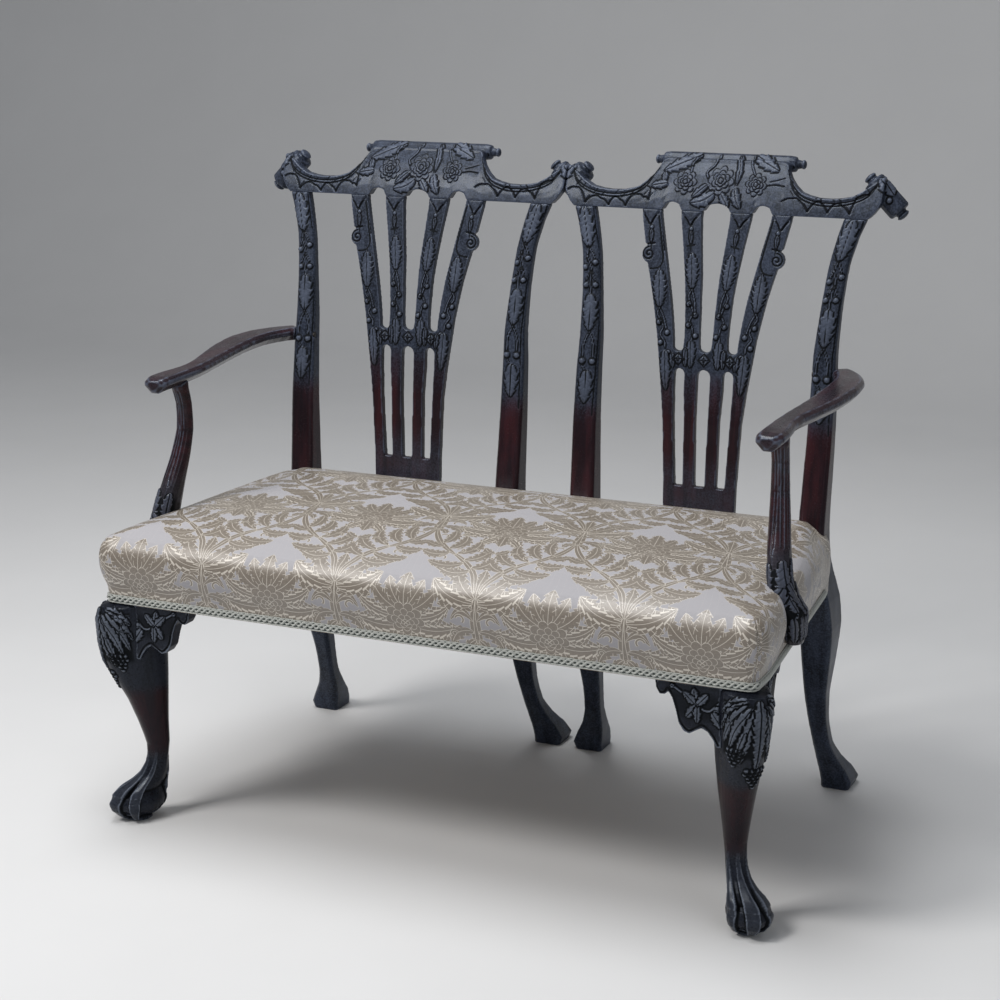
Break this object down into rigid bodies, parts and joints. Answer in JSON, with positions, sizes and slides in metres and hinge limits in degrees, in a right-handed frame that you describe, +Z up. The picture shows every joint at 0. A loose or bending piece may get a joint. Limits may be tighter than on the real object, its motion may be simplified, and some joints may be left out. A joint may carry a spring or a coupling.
{
  "type": "double chair-back settee",
  "caption": "Open-armed settee with a double pierced-splat back, stuff-over damask seat and carved cabriole front legs with claw-and-ball feet.",
  "frame": {"origin": "on the floor, under the middle of the whole settee's bounding box", "axes": "+X along the seat to the sitter's left, so to the right seen from the front; +Y from the front to the back; +Z up"},
  "size_m": [1.0714, 0.6638, 1],
  "materials": {
    "carved_mahogany": "carved, near-black brown with a cool waxed sheen",
    "polished_mahogany": "red-brown polish, dark in the hollows",
    "beech_frame": "plain planed wood",
    "screw_steel": "dull",
    "jute_webbing": "coarse twill tape",
    "hessian_cloth": "open plain weave",
    "stuffing": "felted hair and wadding",
    "silver_damask": "silver-lilac damask with a taupe and cream figure",
    "pale_braid": "woven gimp braid, sage and silver"
  },
  "bodies": {
    "root": {"arm_left": "polished_mahogany", "arm_right": "polished_mahogany", "arm_screw_left": "screw_steel", "arm_screw_right": "screw_steel", "arm_support_left": "polished_mahogany", "arm_support_right": "polished_mahogany", "crest_dowel": "beech_frame", "crest_rail_left": "carved_mahogany", "crest_rail_right": "carved_mahogany", "cross_web_1": "jute_webbing", "cross_web_2": "jute_webbing", "cross_web_3": "jute_webbing", "cross_web_4": "jute_webbing", "cross_web_5": "jute_webbing", "cross_web_6": "jute_webbing", "cross_web_7": "jute_webbing", "cross_web_8": "jute_webbing", "cross_web_9": "jute_webbing", "damask_cover": "silver_damask", "front_corner_block_left": "beech_frame", "front_corner_block_right": "beech_frame", "front_knee_bracket_left": "carved_mahogany", "front_knee_bracket_right": "carved_mahogany", "front_leg_left": "carved_mahogany", "front_leg_right": "carved_mahogany", "front_rail": "beech_frame", "gimp_braid": "pale_braid", "hessian": "hessian_cloth", "left_inner_rear_post": "carved_mahogany", "left_outer_rear_post": "carved_mahogany", "left_rear_rail": "beech_frame", "long_web_1": "jute_webbing", "long_web_2": "jute_webbing", "long_web_3": "jute_webbing", "long_web_4": "jute_webbing", "medial_brace": "beech_frame", "middle_rear_rail": "beech_frame", "rear_corner_block_left": "beech_frame", "rear_corner_block_right": "beech_frame", "right_inner_rear_post": "carved_mahogany", "right_outer_rear_post": "carved_mahogany", "right_rear_rail": "beech_frame", "seat_pad": "stuffing", "side_knee_bracket_left": "carved_mahogany", "side_knee_bracket_right": "carved_mahogany", "side_rail_left": "beech_frame", "side_rail_right": "beech_frame", "splat_left": "carved_mahogany", "splat_right": "carved_mahogany", "splat_shoe_left": "beech_frame", "splat_shoe_right": "beech_frame", "support_screw_left_1": "screw_steel", "support_screw_left_2": "screw_steel", "support_screw_right_1": "screw_steel", "support_screw_right_2": "screw_steel"}
  },
  "joints": []
}
